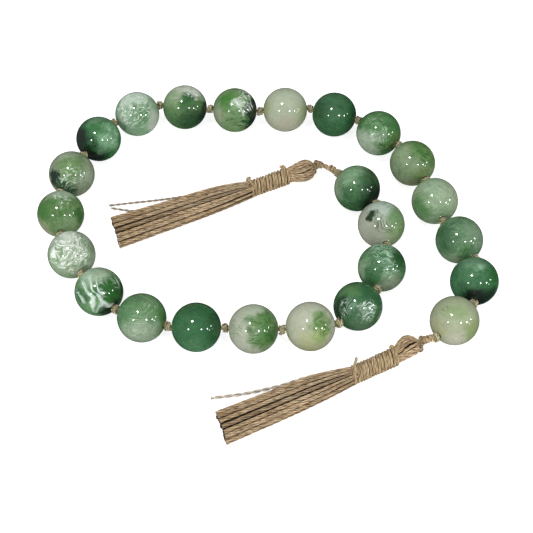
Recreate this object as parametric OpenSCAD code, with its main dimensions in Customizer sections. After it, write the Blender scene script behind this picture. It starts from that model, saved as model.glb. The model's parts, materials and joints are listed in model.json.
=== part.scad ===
// Prayer bead strand: round beads on a knotted twine with a tassel at each end.
// It is laid out as an open coil on a flat surface, which is the plane Z = 0.
// Beads are numbered from the tassel inside the coil to the tassel outside it.

/* [Beads] */
// Diameter of a bead
bead_d = 20; // [16:0.5:20.5]
// Diameter of the hole that the twine runs through
bore_d = 1.8; // [1.7:0.1:2.4]
// Diameter of the chamfer at each mouth of the hole
mouth_d = 3; // [2.6:0.1:4]
// Depth of that chamfer
mouth_depth = 0.6; // [0.4:0.1:1]

/* [Twine] */
// Diameter of the twine
twine_d = 1.6; // [1.2:0.1:1.6]
// Distance from one knot to the next
knot_pitch = 23; // [22.5:0.1:24]
// Diameter of a knot
knot_d = 3.6; // [3:0.1:3.8]
// Space between a knot and the next stretch of twine, where the strand bends
bend_gap = 0.8; // [0.6:0.1:1.2]
// Diameter of the doubled twine between the last knot and a tassel
neck_d = 2.4; // [2:0.1:2.8]

/* [Tassels] */
// Height of a tassel's middle above the surface
tassel_z = 4.7; // [4.7:0.1:6]
// Widest diameter of the loops at the head
loops_d = 9.2; // [8:0.1:9.4]
// Diameter of the bound core
core_d = 4.8; // [4:0.1:5]
// Thickness of the skirt at its cut end
skirt_t = 7.4; // [6:0.1:8]
// Diameter of a single stray yarn
yarn_d = 1; // [0.8:0.1:1.2]

/* [Hidden] */
$fn = 48;
bead_r = bead_d / 2;
turn_r = (knot_d - twine_d) / 2;
turn_z = 0.6;
stretch_start = turn_z + twine_d / 2 + bend_gap;
mouth_z = sqrt(bead_r * bead_r - mouth_d * mouth_d / 4);
chamfer_slope = (mouth_d - bore_d) / mouth_depth;
binding_gap = 0.05;
loops_gap = 0.8;
skirt_root_r = 3.2;
skirt_gap = 0.6;
skirt_lift = 0.2;
shoulder_at = 15;
shoulder_w = 12.2;

// Where the strand starts, and the heading of each bead's hole in turn, in degrees.
first_knot = [33, 40.5];
headings = [
    -47, -82, -103, -135, -172, -182, -182, -201, -229, -242, -264, -290,
    -303, -332, -366, -363, -356, -379, -401, -422, -436, -419, -458, -496
];
last = len(headings);

// Middles of the doubled twine from the end knots to the tassels.
inner_neck_route = [[31, 43, 9.5], [29, 45.8, 8], [27, 48, 6.4], [25.4, 49.6, 5.2], [24, 50.2, 4.8]];
outer_neck_route = [[67, -44.2, 8.6], [66, -43.6, 7], [65, -43.1, 5.6], [64.2, -42.9, 4.8]];

// Each tassel: start, then headings, lengths of the loops, binding and skirt, and skirt width.
inner_tassel = [[22.6, 49.4], [206, 205, 203], [12.4, 20, 61.6], 15.4];
outer_tassel = [[63, -43.8], [213, 207, 205], [11, 21.2, 56], 15.2];

// Yarns that have come loose from the skirts.
inner_long_route = [
    [-12, 38.6, 4], [-22, 36.4, 3], [-34, 34.6, 1.6], [-46, 33, 0.8], [-57, 31.6, 0.6], [-68, 30, 0.6]
];
inner_short_route = [
    [-12, 38.4, 2.2], [-24.2, 34.9, 1.4], [-36, 30, 1], [-48, 26.6, 0.6], [-58, 27, 0.6], [-67, 28.6, 0.6]
];
outer_route = [
    [27.4, -57.4, 4.4], [17.6, -59.5, 4], [8, -62.4, 3], [-2, -64.6, 1.9], [-11, -66, 1.2], [-20.6, -67.2, 0.9]
];

NODES = concat(
    [for (k = [1:last]) numbered("bead", k)],
    [for (k = [1:last]) numbered("twine", k)],
    ["inner_neck", "inner_loops", "inner_binding", "inner_skirt", "inner_stray_long", "inner_stray_short"],
    ["outer_neck", "outer_loops", "outer_binding", "outer_skirt", "outer_stray"]
);
node = "all";

// Places along the strand and along a tassel.
function heading_step(angle, length) = length * [cos(angle), sin(angle)];
function knot_at(k) = k == 0 ? first_knot : knot_at(k - 1) + heading_step(headings[k - 1], knot_pitch);
function tassel_at(t, k) = k == 0 ? t[0] : tassel_at(t, k - 1) + heading_step(t[1][k - 1], t[2][k - 1]);
function numbered(name, k) = str(name, k < 10 ? "_0" : "_", k);
function shown(name) = node == "all" || node == name;

// A smooth curve through a route's points, and the rings of a tube along it.
function on_curve(a, b, c, d, t) =
    0.5 * (2 * b + (c - a) * t + (2 * a - 5 * b + 4 * c - d) * t * t + (3 * b - a - 3 * c + d) * t * t * t);
function smooth(route, steps) = let (n = len(route) - 1) concat(
    [for (i = [0:n - 1], s = [0:steps - 1])
        on_curve(route[max(i - 1, 0)], route[i], route[i + 1], route[min(i + 2, n)], s / steps)],
    [route[n]]
);
function unit(v) = v / norm(v);
function ring(middle, along, d, sides) =
    let (across = unit(cross(along, [0, 0, 1])), up = cross(across, unit(along)))
    [for (s = [0:sides - 1]) middle + d / 2 * (across * cos(360 * s / sides) + up * sin(360 * s / sides))];

module tube(route, d, sides = 8, steps = 3) {
    path = smooth(route, steps);
    n = len(path) - 1;
    rings = [for (i = [0:n]) ring(path[i], path[min(i + 1, n)] - path[max(i - 1, 0)], d, sides)];
    points = [for (r = rings) each r];
    walls = [for (i = [0:n - 1], s = [0:sides - 1]) let (a = i * sides, b = a + sides, t = (s + 1) % sides)
        each [[a + s, b + s, b + t], [a + s, b + t, a + t]]];
    caps = [[for (s = [0:sides - 1]) s], [for (s = [sides - 1:-1:0]) n * sides + s]];
    polyhedron(points, concat(walls, caps));
}

// Turns its children's +Z to a heading, at a point of the strand or of a tassel.
module lay(point, z, angle) {
    translate([point.x, point.y, z]) rotate([0, 90, angle]) children();
}

// Two turns of twine drawn tight, around its own middle.
module knot() {
    rotate_extrude() {
        for (side = [-1, 1]) translate([turn_r, side * turn_z]) circle(d = twine_d, $fn = 24);
        translate([0, -turn_z]) square([turn_r, 2 * turn_z]);
    }
}

module bead(k) {
    color("seagreen") lay(knot_at(k - 1), bead_r, headings[k - 1]) translate([0, 0, knot_pitch / 2])
        difference() {
            sphere(d = bead_d, $fn = 96);
            cylinder(d = bore_d, h = bead_d + 2, center = true);
            for (side = [0, 1]) mirror([0, 0, side]) translate([0, 0, mouth_z - mouth_depth])
                cylinder(d1 = bore_d, d2 = mouth_d + chamfer_slope, h = mouth_depth + 1);
        }
}

// The twine through one bead, with the knot that follows it. The first has a knot at both ends.
module twine(k) {
    start = k == 1 ? 0 : stretch_start;
    color("tan") lay(knot_at(k - 1), bead_r, headings[k - 1]) {
        translate([0, 0, start]) cylinder(d = twine_d, h = knot_pitch - start);
        translate([0, 0, knot_pitch]) knot();
        if (k == 1) knot();
    }
}

module neck(route) {
    color("tan") tube(route, neck_d, sides = 12, steps = 2);
}

// Folded yarns that swell over the neck's eye, and the bound core below them.
module loops(t) {
    length = t[2][0] - loops_gap;
    color("burlywood") {
        lay(t[0], tassel_z, t[1][0]) rotate_extrude()
            polygon([
                [0, 0.4], [1.2, 0.4], [2.6, 1.6], [3.9, 3.2], [loops_d / 2 - 0.1, 5], [loops_d / 2, 6.2],
                [loops_d / 2 - 0.2, 7.6], [3.9, length - 1.6], [3.3, length], [0, length]
            ]);
        lay(tassel_at(t, 1), tassel_z, t[1][1]) translate([0, 0, -loops_gap])
            cylinder(d = core_d, h = t[2][1] + loops_gap);
    }
}

// Twine wound round the core, turn beside turn.
module binding(t) {
    turns = floor(t[2][1] / twine_d);
    ring_r = core_d / 2 + binding_gap + twine_d / 2;
    color("tan") lay(tassel_at(t, 1), tassel_z, t[1][1]) rotate_extrude() {
        for (i = [0:turns - 1]) translate([ring_r, twine_d * (i + 0.5)]) circle(d = twine_d, $fn = 24);
        translate([ring_r - twine_d / 2, twine_d / 2]) square([twine_d * 0.8, twine_d * (turns - 1)]);
    }
}

// A flattened section across a skirt, of a given width.
module flat(point, z, angle, width) {
    for (side = [-1, 1]) lay(point, z, angle)
        translate([0, side * (width - skirt_t) / 2, -1]) cylinder(d = skirt_t, h = 1, $fn = 32);
}

// The cut yarns below the binding, as one bundle that opens at its shoulder.
module skirt(t) {
    root = tassel_at(t, 2) + heading_step(t[1][2], skirt_root_r + skirt_gap);
    end_z = skirt_t / 2 + skirt_lift;
    color("burlywood") hull() {
        translate([root.x, root.y, tassel_z - skirt_root_r])
            cylinder(r = skirt_root_r, h = 2 * skirt_root_r, $fn = 32);
        flat(tassel_at(t, 2) + heading_step(t[1][2], shoulder_at), end_z, t[1][2], shoulder_w);
        flat(tassel_at(t, 3), end_z, t[1][2], t[3]);
    }
}

module stray(route) {
    color("tan") tube(route, yarn_d);
}

for (k = [1:last]) {
    if (shown(numbered("bead", k))) bead(k);
    if (shown(numbered("twine", k))) twine(k);
}
if (shown("inner_neck")) neck(inner_neck_route);
if (shown("inner_loops")) loops(inner_tassel);
if (shown("inner_binding")) binding(inner_tassel);
if (shown("inner_skirt")) skirt(inner_tassel);
if (shown("inner_stray_long")) stray(inner_long_route);
if (shown("inner_stray_short")) stray(inner_short_route);
if (shown("outer_neck")) neck(outer_neck_route);
if (shown("outer_loops")) loops(outer_tassel);
if (shown("outer_binding")) binding(outer_tassel);
if (shown("outer_skirt")) skirt(outer_tassel);
if (shown("outer_stray")) stray(outer_route);
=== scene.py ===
# %% [markdown]
# # A knotted strand of marbled beads with two tassels
# The object is a string of 24 polished resin beads that imitate jade. A knot in the jute twine
# parts each bead from the next, and each end carries a tassel of the same yarn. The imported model
# gives every part its place and its motion. This lesson gives the parts their looks: beads with
# a drilled hole and a stone pattern, twine that is really laid from three plies, and tassels
# that are bound and cut as a maker would do it.

import json
import math
import random

import bpy
from mathutils import Matrix, Vector


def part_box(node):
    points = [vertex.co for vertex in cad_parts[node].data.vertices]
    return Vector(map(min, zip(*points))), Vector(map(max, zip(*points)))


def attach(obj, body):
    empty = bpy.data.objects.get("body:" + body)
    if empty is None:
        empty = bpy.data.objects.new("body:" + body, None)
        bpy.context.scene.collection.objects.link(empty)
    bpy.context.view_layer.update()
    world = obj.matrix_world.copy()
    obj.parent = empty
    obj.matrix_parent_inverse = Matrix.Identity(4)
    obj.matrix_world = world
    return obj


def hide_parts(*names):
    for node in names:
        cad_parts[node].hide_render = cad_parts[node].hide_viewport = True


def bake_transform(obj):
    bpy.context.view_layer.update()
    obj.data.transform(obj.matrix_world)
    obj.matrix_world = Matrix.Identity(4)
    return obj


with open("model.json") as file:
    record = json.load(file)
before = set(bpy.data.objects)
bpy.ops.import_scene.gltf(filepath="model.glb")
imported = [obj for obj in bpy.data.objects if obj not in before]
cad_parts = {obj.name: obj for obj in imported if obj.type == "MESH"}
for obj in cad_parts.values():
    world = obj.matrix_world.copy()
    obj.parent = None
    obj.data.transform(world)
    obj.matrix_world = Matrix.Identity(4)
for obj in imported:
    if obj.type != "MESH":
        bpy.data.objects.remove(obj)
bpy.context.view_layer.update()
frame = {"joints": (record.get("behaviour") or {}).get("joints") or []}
joints = {joint["name"]: joint for joint in frame["joints"]}
MM = 0.001
BEADS = range(1, 25)

# %% [markdown]
# ## The camera
# The strand lies on a table and is seen from a chair: 54 degrees above the table and half a
# metre away, through a long lens, so that near and far beads keep almost the same size.

# %% Place the camera
eye = Vector((1.4, -312.2, 432.9)) * MM
target = Vector((1.4, -2.6, 0)) * MM
camera = bpy.data.objects.new("camera", bpy.data.cameras.new("camera"))
camera.data.sensor_width = 36
camera.data.lens = 84.4
camera.data.clip_start = 0.01
camera.location = eye
camera.rotation_euler = (target - eye).to_track_quat("-Z", "Y").to_euler()
bpy.context.scene.collection.objects.link(camera)
bpy.context.scene.camera = camera
toward = (eye - target).normalized()
upward = toward.cross(Vector((1, 0, 0)))
print("camera elevation", round(math.degrees(math.asin(toward.z)), 1))

# %% [markdown]
# ## Helpers for node trees
# Colours are written as the sRGB hex values that a paint program shows, and Blender mixes light
# in linear values, so one function turns the first into the second. Another adds a node, sets
# its options, and gives each input a value or a link, so a tree reads in the order it is built.


# %% Colours and nodes
# Short names for the kinds of node that are used most.
MATH, VECTOR_MATH, COMBINE_XYZ = "ShaderNodeMath", "ShaderNodeVectorMath", "ShaderNodeCombineXYZ"
MAP_RANGE, MAPPING, NOISE = "ShaderNodeMapRange", "ShaderNodeMapping", "ShaderNodeTexNoise"


def to_linear(hex_colour):
    """Turn an sRGB hex value into the linear colour that Blender mixes."""
    parts = [int(hex_colour[i : i + 2], 16) / 255 for i in (1, 3, 5)]
    return (*(p / 12.92 if p <= 0.04045 else ((p + 0.055) / 1.055) ** 2.4 for p in parts), 1.0)


def new_material(name):
    """Start a material, and return it with its empty node tree."""
    material = bpy.data.materials.new(name)
    material.use_nodes = True
    material.node_tree.nodes.clear()
    return material, material.node_tree


def give(tree, source, socket):
    """Set an input to a value, or link it to an output or to a node's first live output."""
    if isinstance(source, bpy.types.Node):
        source = next(output for output in source.outputs if output.enabled)
    if isinstance(source, bpy.types.NodeSocket):
        tree.links.new(source, socket)
    else:
        socket.default_value = source


def add(tree, kind, inputs=(), **settings):
    """Add a node, set its options, and give its inputs what a dict names or a list has in order."""
    node = tree.nodes.new(kind)
    for name, value in settings.items():
        setattr(node, name, value)
    for key, value in inputs.items() if isinstance(inputs, dict) else enumerate(inputs):
        for source in reversed(value) if isinstance(value, list) else [value]:
            give(tree, source, node.inputs[key])
    return node


# %% [markdown]
# ## The table and the light
# A product like this is shot on a light table: a white sheet that glows faintly, so that it
# stays white and the shadows under the beads stay soft. The sky is a pale dome that darkens
# towards the horizon, which draws a darker line round the polished beads. Six small lamps give
# the bright dots, and each lamp's direction is where a dot on a sphere would send the eye.

# %% Build the sky
world = bpy.data.worlds.new("studio")
bpy.context.scene.world = world
world.use_nodes = True
sky = world.node_tree
sky.nodes.clear()
direction = add(sky, "ShaderNodeTexCoord")
bright_side = Vector((-0.35, -0.45, 0.82))
glow = add(sky, VECTOR_MATH, [direction.outputs["Generated"], bright_side], operation="DOT_PRODUCT")
ramp = add(sky, MAP_RANGE, {
    "Value": glow.outputs["Value"], "From Min": -0.6, "From Max": 1.0, "To Min": 0.05, "To Max": 0.6})
straight = add(sky, "ShaderNodeLightPath")
strength = add(sky, MATH, [ramp, straight.outputs["Is Camera Ray"]], operation="MAXIMUM")
backdrop = add(sky, "ShaderNodeBackground", {"Color": to_linear("#FBFCFF"), "Strength": strength})
add(sky, "ShaderNodeOutputWorld", {"Surface": backdrop})
bpy.context.scene.view_settings.view_transform = "Standard"
print(len(sky.nodes), "nodes make the sky")

# %% Lay the floor
FLOOR_SIZE = 3.0
floor_mesh = bpy.data.meshes.new("light_table")
half = FLOOR_SIZE / 2
floor_z = -0.02 * MM
corners = [(x * half, y * half, floor_z) for x, y in ((-1, -1), (1, -1), (1, 1), (-1, 1))]
floor_mesh.from_pydata(corners, [], [(0, 1, 2, 3)])
floor = bpy.data.objects.new("light_table", floor_mesh)
bpy.context.scene.collection.objects.link(floor)
floor.visible_glossy = False
acrylic, tree = new_material("frosted_white_acrylic")
seen = add(tree, "ShaderNodeLightPath")
# The sheet glows more to the eye than it lights the beads.
glow_seen, glow_unseen = 0.75, 0.25
lit_from_below = add(tree, MATH, [seen.outputs["Is Camera Ray"], glow_seen - glow_unseen, glow_unseen],
                     operation="MULTIPLY_ADD")
sheet = add(tree, "ShaderNodeBsdfPrincipled", {
    "Base Color": to_linear("#E6E6E6"), "Roughness": 0.9, "Specular IOR Level": 0.0,
    "Emission Color": to_linear("#FFFFFF"), "Emission Strength": lit_from_below})
add(tree, "ShaderNodeOutputMaterial", {"Surface": sheet})
floor_mesh.materials.append(acrylic)
print("light table", FLOOR_SIZE, "m wide")

# %% Hang the lamps
LAMP_DISTANCE = 1.2
# Each dot's place on a bead, to the right and up in bead radii, and its lamp's width and power.
DOTS = [
    (-0.14, 0.24, 0.2, 4.8), (-0.29, -0.07, 0.13, 2.0), (0.21, -0.07, 0.14, 2.0),
    (0.44, -0.06, 0.13, 1.6), (0.59, 0.05, 0.1, 0.9), (0.53, -0.11, 0.08, 0.4),
]
for number, (right, up, width, power) in enumerate(DOTS, 1):
    out = math.sqrt(1 - right**2 - up**2)
    normal = Vector((right, 0, 0)) + upward * up + toward * out
    lamp = bpy.data.lights.new(f"lamp_{number}", "AREA")
    lamp.shape = "DISK"
    lamp.size = width
    lamp.energy = power
    lamp_object = bpy.data.objects.new(lamp.name, lamp)
    ray = normal * (2 * out) - toward
    lamp_object.location = target + ray * LAMP_DISTANCE
    lamp_object.rotation_euler = (-ray).to_track_quat("-Z", "Y").to_euler()
    bpy.context.scene.collection.objects.link(lamp_object)
print(len(DOTS), "lamps")

# %% [markdown]
# ## A tree that turns a bead
# A bead is a sphere with a drilled hole whose two lips are rounded by tumbling. That shape is a
# rule: half its outline, swept round the hole's axis. A boolean cut from a sphere would leave
# sharp lips and uneven faces, so Geometry Nodes draw the outline and sweep it. The sweep path
# is a circle as wide as the bead, and the outline's X is measured from it.


# %% Helpers for Geometry Nodes
def new_tree(name, sockets):
    """Start a Geometry Nodes tree with named inputs, and return it with its input node."""
    tree = bpy.data.node_groups.new(name, "GeometryNodeTree")
    tree.interface.new_socket("Geometry", in_out="INPUT", socket_type="NodeSocketGeometry")
    tree.interface.new_socket("Geometry", in_out="OUTPUT", socket_type="NodeSocketGeometry")
    for label, kind in sockets:
        tree.interface.new_socket(label, in_out="INPUT", socket_type="NodeSocket" + kind)
    return tree, add(tree, "NodeGroupInput")


def end_tree(tree, geometry, material):
    """Smooth the faces, give them their material, make any instance real, and return the tree."""
    smooth_faces = add(tree, "GeometryNodeSetShadeSmooth", {"Geometry": geometry})
    painted = add(tree, "GeometryNodeSetMaterial", {"Geometry": smooth_faces, "Material": material})
    real = add(tree, "GeometryNodeRealizeInstances", {"Geometry": painted})
    add(tree, "NodeGroupOutput", {0: real})
    return tree


def grow(tree, name, values, verts=(), edges=(), shades=()):
    """Run a tree on a wire of points, each with its shade, a factor for painted shade and tone, and return the result
    as a plain mesh object.
    """
    wire = bpy.data.meshes.new(name + "_wire")
    wire.from_pydata(verts, edges, [])
    wire.attributes.new("shade", "FLOAT", "POINT").data.foreach_set("value", shades)
    source = bpy.data.objects.new(name + "_wire", wire)
    bpy.context.scene.collection.objects.link(source)
    modifier = source.modifiers.new("grow", "NODES")
    modifier.node_group = tree
    for item in tree.interface.items_tree:
        if item.in_out == "INPUT" and item.name in values:
            modifier[item.identifier] = values[item.name]
    evaluated = source.evaluated_get(bpy.context.evaluated_depsgraph_get())
    mesh = bpy.data.meshes.new_from_object(evaluated)
    source.modifiers.remove(modifier)
    bpy.data.objects.remove(source)
    bpy.data.meshes.remove(wire)
    mesh.name = name
    piece = bpy.data.objects.new(name, mesh)
    bpy.context.scene.collection.objects.link(piece)
    return piece


# %% Build the bead tree
tree, given = new_tree("turned_bead", [
    ("Diameter", "Float"), ("Bore", "Float"), ("Lip", "Float"), ("Lip depth", "Float"),
    ("Centre", "Vector"), ("Heading", "Float"), ("Material", "Material")])
radius, bore_r, lip_r = (
    add(tree, MATH, [given.outputs[label], 2.0], operation="DIVIDE") for label in ("Diameter", "Bore", "Lip"))
lip_cosine = add(tree, MATH, [lip_r, radius], operation="DIVIDE")
lip_angle = add(tree, MATH, [lip_cosine], operation="ARCCOSINE")
lip_sine = add(tree, MATH, [lip_angle], operation="SINE")
lip_y = add(tree, MATH, [radius, lip_sine], operation="MULTIPLY")
bore_y = add(tree, MATH, [lip_y, given.outputs["Lip depth"]], operation="SUBTRACT")
skin_start = add(tree, MATH, [lip_angle, -1.0], operation="MULTIPLY")
skin_sweep = add(tree, MATH, [lip_angle, 2.0], operation="MULTIPLY")
skin = add(tree, "GeometryNodeCurveArc", {
    "Resolution": 46, "Radius": radius, "Start Angle": skin_start, "Sweep Angle": skin_sweep})
lip_top = add(tree, COMBINE_XYZ, {"X": lip_r, "Y": lip_y})
lip_turn = add(tree, COMBINE_XYZ, {"X": bore_r, "Y": lip_y})
lip_foot = add(tree, COMBINE_XYZ, {"X": bore_r, "Y": bore_y})
lip = add(tree, "GeometryNodeCurveQuadraticBezier", {
    "Resolution": 6, "Start": lip_top, "Middle": lip_turn, "End": lip_foot})
far_lip = add(tree, "GeometryNodeTransform", {"Geometry": lip, "Scale": (1, -1, 1)})
far_y = add(tree, MATH, [bore_y, -1.0], operation="MULTIPLY")
far_foot = add(tree, COMBINE_XYZ, {"X": bore_r, "Y": far_y})
bore = add(tree, "GeometryNodeCurvePrimitiveLine", {"Start": lip_foot, "End": far_foot})
outline = add(tree, "GeometryNodeJoinGeometry", {0: [skin, lip, far_lip, bore]})
inward = add(tree, MATH, [radius, -1.0], operation="MULTIPLY")
shift = add(tree, COMBINE_XYZ, {"X": inward})
outline = add(tree, "GeometryNodeTransform", {"Geometry": outline, "Translation": shift})
orbit = add(tree, "GeometryNodeCurvePrimitiveCircle", {"Resolution": 84, "Radius": radius})
swept = add(tree, "GeometryNodeCurveToMesh", {"Curve": orbit, "Profile Curve": outline})
welded = add(tree, "GeometryNodeMergeByDistance", {"Geometry": swept, "Distance": 0.000002})
turned = add(tree, COMBINE_XYZ, {"Y": math.pi / 2, "Z": given.outputs["Heading"]})
placed = add(tree, "GeometryNodeTransform", {
    "Geometry": welded, "Translation": given.outputs["Centre"], "Rotation": turned})
bead_tree = end_tree(tree, placed, given.outputs["Material"])
print(len(tree.nodes), "nodes turn a bead")

# %% [markdown]
# ## The stone pattern
# The real beads are cast resin that imitates jade: pale and dark greens are stirred together and
# not quite mixed, so every bead has its own clouds, patches and pearly streaks under a polished
# skin. An image would stretch on a sphere. A pattern in space doesn't, and it runs right through
# the bead and into its hole, as the stirred colours do. Each bead is one base colour with clouds,
# and then layers. A layer sits at a place on the side that faces the chair, and is either a soft
# patch or a patch that is broken into streaks.


# %% One function for every bead's finish
# How far a streak runs, how wide it is and how deep it goes, in bead radii.
LONG_STREAKS, FINE_STREAKS = (2.4, 0.5, 0.9), (1.25, 0.3, 0.6)


def facing(right, up):
    """The direction from a bead's middle to a place on its near side, given in bead radii."""
    out = math.sqrt(max(0.0, 1 - right**2 - up**2))
    return Vector((right, 0, 0)) + upward * up + toward * out


def jade(name, centre, seed, base, cloud, clouds, layers, mottle):
    """Cast marbled resin: base colour, clouds, layers as in the recipes, and depth of mottle."""
    material, tree = new_material(name)
    place = add(tree, "ShaderNodeTexCoord")
    unit = add(tree, MAPPING, {
        "Vector": place.outputs["Object"], "Location": centre, "Scale": (BEAD_R, BEAD_R, BEAD_R)},
        vector_type="TEXTURE")
    moved = add(tree, VECTOR_MATH, [unit, (seed, 1.7 * seed, -0.6 * seed)], operation="ADD")
    stir = add(tree, NOISE, {"Vector": moved, "Scale": 1.5, "Detail": 5.0, "Roughness": 0.55})
    swirl = add(tree, VECTOR_MATH, [stir.outputs["Color"], (0.5, 0.5, 0.5)], operation="SUBTRACT")
    # The far half has the near half's layers, mirrored, and stirs them in its own way.
    near = add(tree, VECTOR_MATH, [unit, toward], operation="DOT_PRODUCT")
    depth = add(tree, MATH, [near.outputs["Value"], -2.0], operation="MULTIPLY")
    behind = add(tree, MATH, [depth, 0.0], operation="MAXIMUM")
    brought = add(tree, VECTOR_MATH, {0: toward, "Scale": behind}, operation="SCALE")
    folded = add(tree, VECTOR_MATH, [unit, brought], operation="ADD")
    stirred = add(tree, VECTOR_MATH, [swirl, (1.1, 1.1, 1.1), folded], operation="MULTIPLY_ADD")
    slow_stir = add(tree, NOISE, {"Vector": moved, "Scale": 1.1, "Detail": 1.0})
    slow_swirl = add(tree, VECTOR_MATH, [slow_stir.outputs["Color"], (0.5, 0.5, 0.5)], operation="SUBTRACT")
    flowing = add(tree, VECTOR_MATH, [slow_swirl, (1.25, 1.25, 1.25), unit], operation="MULTIPLY_ADD")
    drifted = add(tree, VECTOR_MATH, [stirred, (seed, -seed, 2 * seed)], operation="ADD")
    mist = add(tree, NOISE, {
        "Vector": drifted, "Scale": clouds, "Detail": 5.0, "Roughness": 0.6, "Distortion": 0.4})
    amount = add(tree, MAP_RANGE, {"Value": mist.outputs["Fac"], "From Min": 0.36, "From Max": 0.66},
                 interpolation_type="SMOOTHSTEP")
    colour = add(tree, "ShaderNodeMix", {0: amount, 6: to_linear(base), 7: to_linear(cloud)}, data_type="RGBA")
    for right, up, reach, edge, tint, strength, *streaks in layers:
        away = add(tree, VECTOR_MATH, [stirred, facing(right, up)], operation="DISTANCE")
        mask = add(tree, MAP_RANGE, {
            "Value": away.outputs["Value"], "From Min": reach - edge, "From Max": reach + edge,
            "To Min": strength, "To Max": 0.0}, interpolation_type="SMOOTHSTEP")
        if streaks:
            lines, lean = streaks
            size = LONG_STREAKS if lines < 6 else FINE_STREAKS
            tilt = math.radians(lean)
            run = Vector((math.cos(tilt), 0, 0)) + upward * math.sin(tilt)
            turn = Matrix((run, toward.cross(run), toward)).transposed().to_euler()
            drawn = add(tree, MAPPING, {
                "Vector": flowing, "Rotation": turn, "Scale": size, "Location": (seed, seed, seed)},
                vector_type="TEXTURE")
            flow = add(tree, NOISE, {"Vector": drawn, "Scale": 1.0, "Detail": 2.4, "Roughness": 0.45})
            counted = add(tree, MATH, [flow.outputs["Fac"], lines], operation="MULTIPLY")
            bands = add(tree, MATH, [counted, 0.5], operation="PINGPONG")
            threads = add(tree, MAP_RANGE, {"Value": bands, "From Min": 0.16, "From Max": 0.42},
                          interpolation_type="SMOOTHSTEP")
            torn = add(tree, NOISE, {"Vector": drawn, "Scale": 2.2, "Detail": 4.0})
            gaps = add(tree, MAP_RANGE, {"Value": torn.outputs["Fac"], "From Min": 0.36, "From Max": 0.6})
            broken = add(tree, MATH, [threads, gaps], operation="MULTIPLY")
            mask = add(tree, MATH, [mask, broken], operation="MULTIPLY")
        colour = add(tree, "ShaderNodeMix", {0: mask, 6: colour, 7: to_linear(tint)}, data_type="RGBA")
    pulled = add(tree, MAPPING, {"Vector": drifted, "Scale": (0.3, 0.12, 0.12)}, vector_type="TEXTURE")
    grain = add(tree, NOISE, {"Vector": pulled, "Scale": 1.0, "Detail": 4.0, "Roughness": 0.6})
    value = add(tree, MAP_RANGE, {
        "Value": grain.outputs["Fac"], "From Min": 0.3, "From Max": 0.7, "To Min": 1 - mottle, "To Max": 1 + mottle})
    colour = add(tree, VECTOR_MATH, {0: colour, "Scale": value}, operation="SCALE")
    shader = add(tree, "ShaderNodeBsdfPrincipled", {"Base Color": colour, "Roughness": 0.03, "IOR": 1.5})
    add(tree, "ShaderNodeOutputMaterial", {"Surface": shader})
    return material


# %% [markdown]
# ## The 24 beads
# Each bead's imported part says how big it is, and its spin joint says where its hole is and which
# way it runs. The table below gives the colours, bead by bead: mostly the resin's own clouds,
# patches and streaks, but some patches on beads 1, 7 and 18 are painted light and painted shade.

# %% The recipes
BEAD_R = (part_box("bead_01")[1][2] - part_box("bead_01")[0][2]) / 2
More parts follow.
